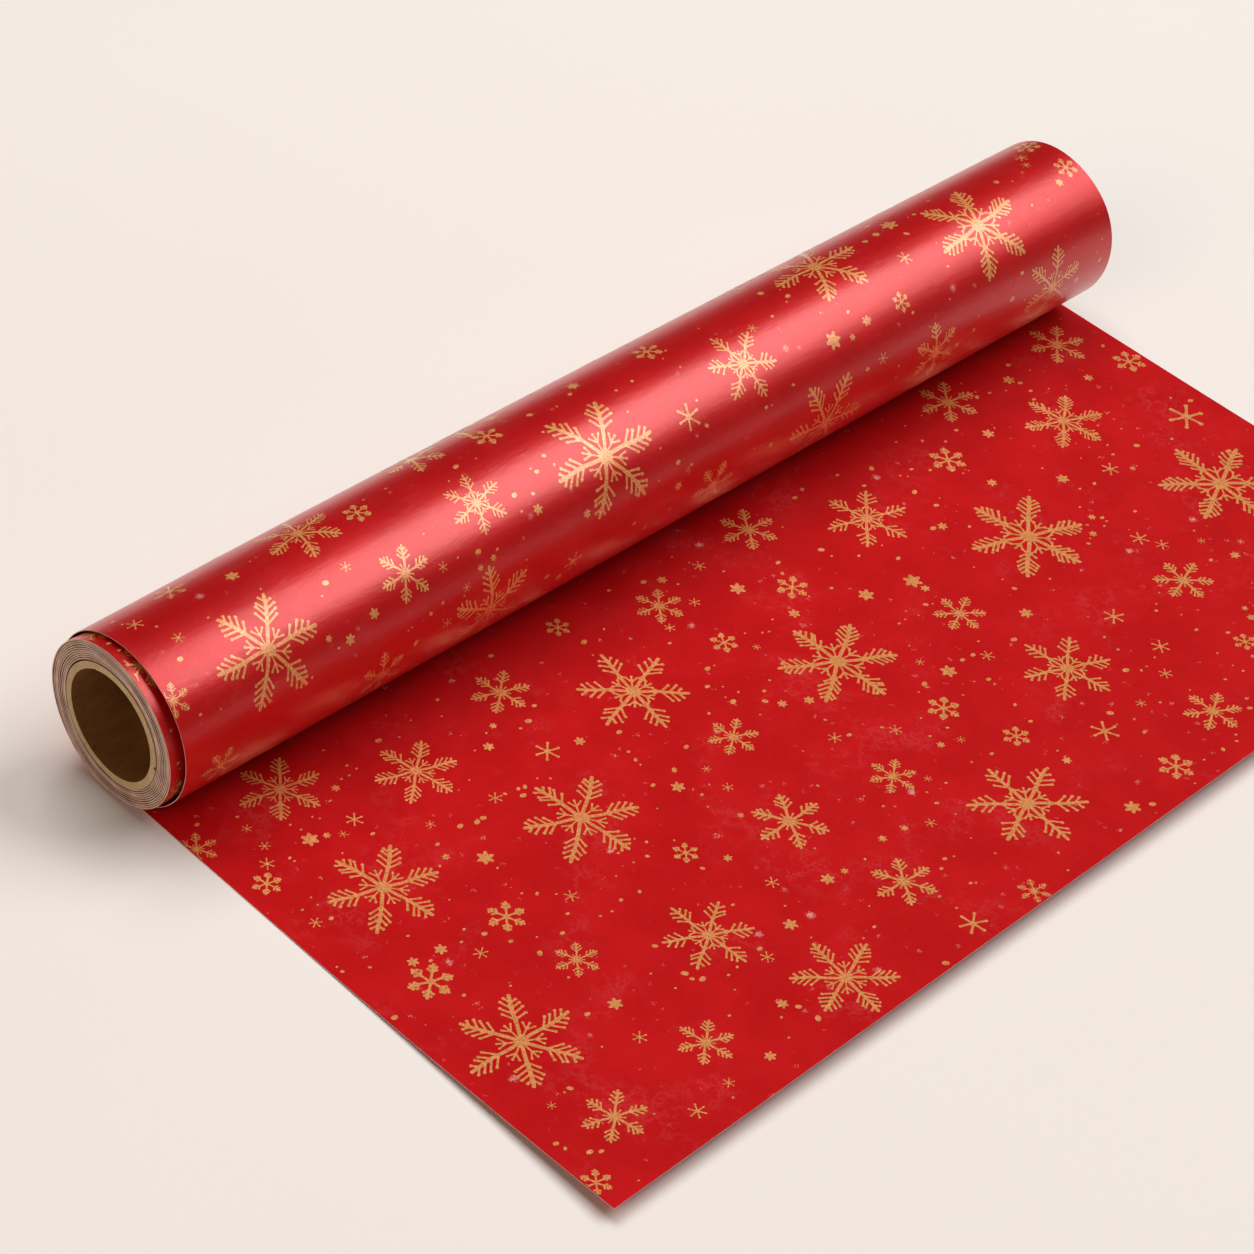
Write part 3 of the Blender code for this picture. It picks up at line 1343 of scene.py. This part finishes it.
@dataclass
class LooseTurn:
    """The last turn of the web, which stands off the winding all round but at the bottom."""

    axis_x: float
    low_y: float
    high_y: float
    axis_z: float = 0.030385
    step_in: float = 0.00045
    thickness: float = 0.00022
    ink_lift: float = 0.00005
    hug: float = 0.0019
    hug_reach: float = 0.085
    hug_from: float = 0.5
    hug_over: float = 3.9
    out_of_round: float = 0.00016
    ripple: float = 0.00005
    rim_reach: float = 0.014
    rim_wave: float = 0.00022
    rim_rows: int = 13
    rim_zone: float = 0.03
    middle_rows: int = 50
    middle_from: float = 0.035
    steps: int = 241
    ends: tuple[float, float] = (-90.0, 269.9)
    ink_ends: tuple[float, float] = (-89.0, 269.0)
    ink_margin: float = 0.0002
    seed: int = 23
    behind: tuple[float, float] = (132.0, 262.0)
    below: tuple[float, float] = (-86.0, -30.0)
    specks_margin: float = 4.0 * MM

    @classmethod
    def from_frame(cls) -> LooseTurn:
        """Take the place from the solids of the sheet and the loose turn.

        Returns:
            The turn, its axis over the line where the sheet leaves it.
        """
        low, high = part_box("loose_outer_turn")
        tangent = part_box("unrolled_sheet")[0][0]
        return cls(tangent, low[1], high[1])

    def radius(self, angle: np.ndarray, across: np.ndarray) -> np.ndarray:
        """Radius of the outer face: a slow spiral, uneven at its rims, drawn in at the near end.

        Args:
            angle: Angles round from +X up, in radians.
            across: Places across the web.

        Returns:
            The radius at each place.
        """
        share = (angle + math.pi / 2.0) / (2.0 * math.pi)
        free = np.clip(4.0 * share * (1.0 - share), 0.0, 1.0)
        hugging = np.clip((angle - self.hug_from) / self.hug_over, 0.0, 1.0)
        drawn_in = 0.5 - 0.5 * np.cos(hugging * 2.0 * math.pi)
        drawn_in *= self.hug * np.exp(-(across - self.low_y) / self.hug_reach)
        round_off = self.out_of_round * np.sin(2.0 * angle + 0.7)
        round_off = round_off + self.ripple * np.sin(5.0 * angle + 21 * across)
        near = self.rim_wave * np.exp(-(across - self.low_y) / self.rim_reach)
        far = self.rim_wave * np.exp(-(self.high_y - across) / self.rim_reach)
        rims = near * np.sin(3.0 * angle + 1.0) + far * np.sin(4.0 * angle)
        slow = self.axis_z - self.step_in * (1.0 - share)
        return slow + free * (round_off + rims) - drawn_in

    def lay(self, across: np.ndarray, angle: np.ndarray, lift: float) -> np.ndarray:
        """Points that lie a lift outside the outer face.

        Args:
            across: Places across the web.
            angle: Angles round from +X up, in radians.
            lift: How far outside.

        Returns:
            The points.
        """
        radius = self.radius(angle, across) + lift
        return around((self.axis_x, self.axis_z), radius, angle, across)

    def build(self, finishes: Finishes) -> list[bpy.types.Object]:
        """Make the turn and its print.

        Args:
            finishes: The shared materials.

        Returns:
            The turn and its print.
        """
        low, high = self.low_y, self.high_y
        angle = np.radians(np.linspace(*self.ends, self.steps))
        across = np.concatenate(
            [
                np.linspace(low, low + self.rim_zone, self.rim_rows),
                np.linspace(low + self.middle_from, high - self.middle_from, self.middle_rows),
                np.linspace(high - self.rim_zone, high, self.rim_rows),
            ]
        )
        g, c = np.meshgrid(angle, across, indexing="ij")
        front, back = self.lay(c, g, 0.0), self.lay(c, g, -self.thickness)
        turn = thin_body("loose_turn_paper", front, back, finishes.paper, finishes.edge)
        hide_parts("loose_outer_turn")
        ink = self.printed(finishes.gold)
        for piece in (turn, ink):
            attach(piece, "loose_turn")
        return [turn, ink]

    def printed(self, gold: bpy.types.Material) -> bpy.types.Object:
        """The pattern, listed on the photograph's side and by chance behind and below.

        Args:
            gold: The ink.

        Returns:
            The print.
        """
        web = WebPrint(self.seed)
        arc = self.axis_z / MM
        for f in ROLL_FLAKES:
            web.add([Flake(f.across, math.radians(f.angle) * arc, f.span, f.turn, f.style)])
        behind, below = self.area(*self.behind), self.area(*self.below)
        whole = self.area(self.below[0], self.behind[1])
        for style in (FERN, LACE, PLUME):
            web.scatter(style, 4, (32.0, 42.0), behind)
        web.scatter(FERN, 3, (26.0, 34.0), below)
        for area in (behind, below):
            web.scatter(SPRIG, 9, (15.0, 22.0), area)
            web.scatter(TWIG, 7, (8.0, 13.0), area)
        web.scatter(SPARK, 26, (3.0, 6.0), whole)
        web.scatter(BLOB, 26, (2.4, 4.6), whole)
        web.scatter(DOT, 280, (0.8, 2.6), whole)
        start, end = (math.radians(a) * self.axis_z for a in self.ink_ends)
        limits = (self.low_y + self.ink_margin, self.high_y - self.ink_margin, start, end)
        return web.build(
            "loose_turn_snowflakes",
            lambda c, a: self.lay(c, a / self.axis_z, self.ink_lift),
            limits,
            gold,
            mirrored=False,
        )

    def area(self, low: float, high: float) -> Area:
        """Where chance may print.

        Args:
            low: Angle that it starts at, in degrees round from +X up.
            high: Angle that it ends at.

        Returns:
            Lowest and highest across, then along the arc, in millimetres.
        """
        arc, margin = self.axis_z / MM, self.specks_margin / MM
        sides = (self.low_y / MM + margin, self.high_y / MM - margin)
        return (*sides, math.radians(low) * arc, math.radians(high) * arc)


@dataclass
class Winding:
    """The wound paper: one spiral, its layers uneven where they end."""

    axis: tuple[float, float]
    low_y: float
    high_y: float
    inner_radius: float = 0.02122
    outer_radius: float = 0.02841
    turns: int = 10
    steps: int = 120
    layer: float = 0.00047
    waves: tuple[float, float] = (0.020 * MM, 0.014 * MM)
    set_back: float = 0.22 * MM
    raggedness: float = 0.5 * MM
    far_share: float = 0.8
    end_rows: tuple[float, float] = (2.0 * MM, 6.0 * MM)
    ink_lift: float = 0.00011
    ink_from: float = 0.0009
    ink_to: float = 0.012
    ink_ends: tuple[float, float] = (-88.0, 266.0)
    seed: int = 37

    @classmethod
    def from_frame(cls) -> Winding:
        """Take the place from the core's and the winding's solids.

        Returns:
            The winding, about the core's axis.
        """
        low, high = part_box("wound_paper")
        return cls(core_axis(), low[1], high[1])

    @property
    def pitch(self) -> float:
        """How far the spiral grows in one turn."""
        return (self.outer_radius - self.layer - self.inner_radius) / self.turns

    def build(self, finishes: Finishes) -> list[bpy.types.Object]:
        """Make the winding and the print on its outside.

        Args:
            finishes: The shared materials.

        Returns:
            The winding and its print.
        """
        count = self.turns * self.steps + 1
        share = np.linspace(0.0, 1.0, count)
        angle = -math.pi / 2.0 + 2.0 * math.pi * self.turns * share
        wave = self.waves[0] * np.sin(3.0 * angle + 5.0 * share) * np.sin(0.37 * angle)
        wave += self.waves[1] * np.sin(2.17 * angle + 2.0)
        wave *= np.clip(6.0 * share, 0.0, 1.0) * np.clip(6.0 * (1.0 - share), 0.0, 1.0)
        inside = self.inner_radius + self.pitch * self.turns * share + wave
        ragged = 0.26 * np.sin(0.83 * angle + 1.0) + 0.12 * np.sin(2.17 * angle)
        ragged = self.set_back + self.raggedness * ragged
        near, far = self.low_y + ragged, self.high_y - self.far_share * ragged
        first, second = self.end_rows
        rows = [near, near + first, near + second, far - second, far - first, far]
        across = np.stack(rows, -1)
        front, back = (
            around(self.axis, (inside + lift)[:, None], angle[:, None], across)
            for lift in (self.layer, 0.0)
        )
        # The faces of the winding get the painted shade between layers; show_last_turn gives the
        # last turn's outside the printed paper.
        face, rim = finishes.layer_gaps, finishes.wound_edges
        wound = thin_body("wound_paper_layers", front, back, face, rim)
        self.show_last_turn(wound, finishes.paper)
        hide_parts("wound_paper")
        ink = self.printed(finishes.gold)
        for piece in (wound, ink):
            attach(piece, "winding")
        return [wound, ink]

    def show_last_turn(self, wound: bpy.types.Object, paper: bpy.types.Material) -> None:
        """Give the outside of the last turn its printed face.

        Args:
            wound: The winding.
            paper: The printed paper.
        """
        wound.data.materials.append(paper)
        last = len(wound.data.materials) - 1
        for face in wound.data.polygons:
            x, z = face.center[0] - self.axis[0], face.center[2] - self.axis[1]
            reach = math.hypot(x, z)
            outward = face.normal[0] * x + face.normal[2] * z > 0.5 * reach
            round_share = ((math.atan2(z, x) + math.pi / 2.0) / (2.0 * math.pi)) % 1.0
            if outward and reach > self.outer_radius - self.pitch * (1.5 - round_share):
                face.material_index = last

    def printed(self, gold: bpy.types.Material) -> bpy.types.Object:
        """The pattern on what stands out of the loose turn at the near end.

        Args:
            gold: The ink.

        Returns:
            The print.
        """
        web = WebPrint(self.seed)
        arc = self.outer_radius / MM
        near = self.low_y / MM
        for number, angle in enumerate((-64, -18, 74, 118, 163, 214)):
            span = (13.0, 10.0, 17.0)[number % 3]
            style = (SPRIG, TWIG, SPRIG)[number % 3]
            along = math.radians(angle) * arc
            web.add([Flake(near + 0.30 * span, along, span, 13.0 * number, style)])
        band = (near + 1.2, near + 8.0, math.radians(-85.0) * arc, math.radians(262.0) * arc)
        web.scatter(DOT, 26, (0.9, 2.0), band)

        def lay(across: np.ndarray, along: np.ndarray) -> np.ndarray:
            """Points just over the last turn, which grows as it goes round.

            Args:
                across: Places across the web.
                along: Arcs round the outside from +X up.

            Returns:
                The points.
            """
            angle = along / self.outer_radius
            back = self.pitch * (1.5 * math.pi - angle) / (2.0 * math.pi)
            radius = self.outer_radius - back + self.ink_lift
            return around(self.axis, radius, angle, across)

        start, end = (math.radians(a) * self.outer_radius for a in self.ink_ends)
        limits = (self.low_y + self.ink_from, self.low_y + self.ink_to, start, end)
        return web.build("winding_snowflakes", lay, limits, gold, mirrored=False)


@dataclass
class Core:
    """The paperboard tube: three strips wound in spirals, one on another."""

    axis: tuple[float, float]
    low_y: float
    high_y: float
    inner_radius: float = 0.01875
    outer_radius: float = 0.02115
    lead: float = 0.100
    seam: float = 0.0005
    ply_gap: float = 0.00002
    least_strip: float = 1e-5
    steps: int = 96
    columns: int = 9

    @classmethod
    def from_frame(cls) -> Core:
        """Take the place from the core's solids.

        Returns:
            The core.
        """
        low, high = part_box("core_outer_ply")
        return cls(core_axis(), low[1], high[1])

    def build(self, finishes: Finishes) -> list[bpy.types.Object]:
        """Make the three plies.

        Args:
            finishes: The shared materials.

        Returns:
            The plies, from the bore outwards.
        """
        names = ("core_inner_ply", "core_middle_ply", "core_outer_ply")
        wall = (self.outer_radius - self.inner_radius) / len(names)
        made = []
        for number, name in enumerate(names):
            inner = self.inner_radius + number * wall
            outer = inner + wall - self.ply_gap
            front, back = (self.strip(radius, number) for radius in (outer, inner))
            # The innermost ply's faces get the darkened board, painted shade in the bore.
            face = finishes.board if number else finishes.bore
            ply = thin_body(name + "_board", front, back, face, finishes.cut_board)
            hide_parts(name)
            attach(ply, "core")
            made.append(ply)
        return made

    def strip(self, radius: float, number: int) -> np.ndarray:
        """One face of a strip, cut square at both ends of the core.

        Args:
            radius: The face's radius.
            number: The ply's place in the wall, which sets where its seam lies.

        Returns:
            Its points, by row and column.
        """
        turns = math.ceil((self.high_y - self.low_y) / self.lead) + 1
        angle = np.linspace(0.0, 2.0 * math.pi * turns, turns * self.steps + 1)
        low = self.high_y - self.lead * angle / (2.0 * math.pi)
        edges = np.stack([low, low + self.lead - self.seam], -1)
        edges = np.clip(edges, self.low_y, self.high_y)
        keep = edges[:, 1] - edges[:, 0] > self.least_strip
        angle, edges = angle[keep] + number * 2.0 * math.pi / 3.0, edges[keep]
        span = np.linspace(0.0, 1.0, self.columns)
        across = edges[:, :1] + (edges[:, 1:] - edges[:, :1]) * span
        return around(self.axis, radius, angle[:, None], across)


@dataclass(frozen=True)
class Softbox:
    """A soft rectangular lamp, which glossy surfaces mirror only if it gleams."""

    name: str
    place: Point
    aim: Point
    width: float
    height: float
    power: float
    colour: Colour = (1.0, 1.0, 1.0)
    gleam: bool = True

    def build(self) -> None:
        """Put the lamp in the scene."""
        lamp = bpy.data.lights.new(self.name, "AREA")
        lamp.shape = "RECTANGLE"
        lamp.size, lamp.size_y = self.width, self.height
        lamp.energy, lamp.color = self.power, self.colour
        holder = placed(self.name, lamp)
        holder.location = self.place
        holder.visible_glossy = self.gleam
        beam = Vector(self.aim) - Vector(self.place)
        holder.rotation_euler = beam.to_track_quat("-Z", "Y").to_euler()


LAMPS = (
    Softbox(
        "key",
        place=(1.65, 3.3, 4.5),
        aim=(1.65, 0.0, 0.0),
        width=4.9,
        height=2.4,
        power=208.0,
    ),
    Softbox(
        "above",
        place=(-1.9, 0.75, 4.2),
        aim=(0.0, 0.0, 0.0),
        width=2.6,
        height=2.6,
        power=116.0,
        gleam=False,
    ),
    Softbox(
        "fill",
        place=(0.3, -3.0, 2.2),
        aim=(0.0, 0.0, 0.0),
        width=2.0,
        height=1.6,
        power=26.0,
        colour=(1.0, 0.80, 0.62),
    ),
)


@dataclass
class Studio:
    """The floor, the light and the camera."""

    azimuth: float = 39.89
    elevation: float = 41.27
    roll: float = 8.15
    distance: float = 1.1435
    focal_length: float = 100.64
    from_tangent: tuple[float, float] = (0.0426, -0.0406)
    floor_size: float = 14.0
    floor_drop: float = 0.00002
    sky: Colour = (0.93, 0.95, 1.0)
    sky_strength: float = 0.05

    def build(self, tangent_x: float, middle_y: float) -> None:
        """Set the stage.

        Args:
            tangent_x: Where the sheet leaves the roll.
            middle_y: Middle of the web.
        """
        self.floor()
        self.light()
        target = Vector((tangent_x + self.from_tangent[0], middle_y + self.from_tangent[1], 0.0))
        self.camera(target)
        bpy.context.scene.view_settings.view_transform = "Standard"

    def floor(self) -> None:
        """The surface that the sheet lies on."""
        shape = bmesh.new()
        bmesh.ops.create_grid(shape, x_segments=8, y_segments=8, size=self.floor_size / 2.0)
        mesh = bpy.data.meshes.new("floor")
        shape.to_mesh(mesh)
        shape.free()
        mesh.materials.append(PaleFloor().material())
        floor = placed("floor", mesh)
        floor.location.z = -self.floor_drop

    def light(self) -> None:
        """A soft key from behind on the right, a lamp above, a low warm fill and a dim sky."""
        for lamp in LAMPS:
            lamp.build()
        world = bpy.data.worlds.new("studio")
        world.use_nodes = True
        sky = world.node_tree.nodes["Background"]
        sky.inputs["Color"].default_value = (*self.sky, 1.0)
        sky.inputs["Strength"].default_value = self.sky_strength
        bpy.context.scene.world = world

    def camera(self, target: Vector) -> None:
        """Look at the target from the photograph's side, tipped as it is.

        Args:
            target: The point in the middle of the picture.
        """
        az, el, tip = (math.radians(a) for a in (self.azimuth, self.elevation, self.roll))
        back = Vector((math.sin(az) * math.cos(el), -math.cos(az) * math.cos(el), math.sin(el)))
        level = Vector((math.cos(az), math.sin(az), 0.0))
        upright = back.cross(level)
        right = level * math.cos(tip) + upright * math.sin(tip)
        up = upright * math.cos(tip) - level * math.sin(tip)
        lens = bpy.data.cameras.new("camera")
        lens.lens = self.focal_length
        lens.clip_start, lens.clip_end = 0.02, 50.0
        camera = placed("camera", lens)
        turn = Matrix((right, up, back)).transposed().to_4x4()
        camera.matrix_world = Matrix.Translation(target + back * self.distance) @ turn
        bpy.context.scene.camera = camera


def main() -> None:
    """Load the frame, dress it piece by piece and set the stage."""
    logging.basicConfig(level=logging.INFO, format="%(name)s: %(message)s")
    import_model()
    sheet = UnrolledSheet.from_frame()
    finishes = Finishes.make(sheet.tangent_x + sheet.feed_zone)
    turn = LooseTurn.from_frame()
    for part in (sheet, turn, Winding.from_frame(), Core.from_frame()):
        for piece in part.build(finishes):
            LOG.info("%s: %d faces", piece.name, len(piece.data.polygons))
    Studio().build(sheet.tangent_x, (sheet.low_y + sheet.high_y) / 2.0)


if __name__ == "__main__":
    main()
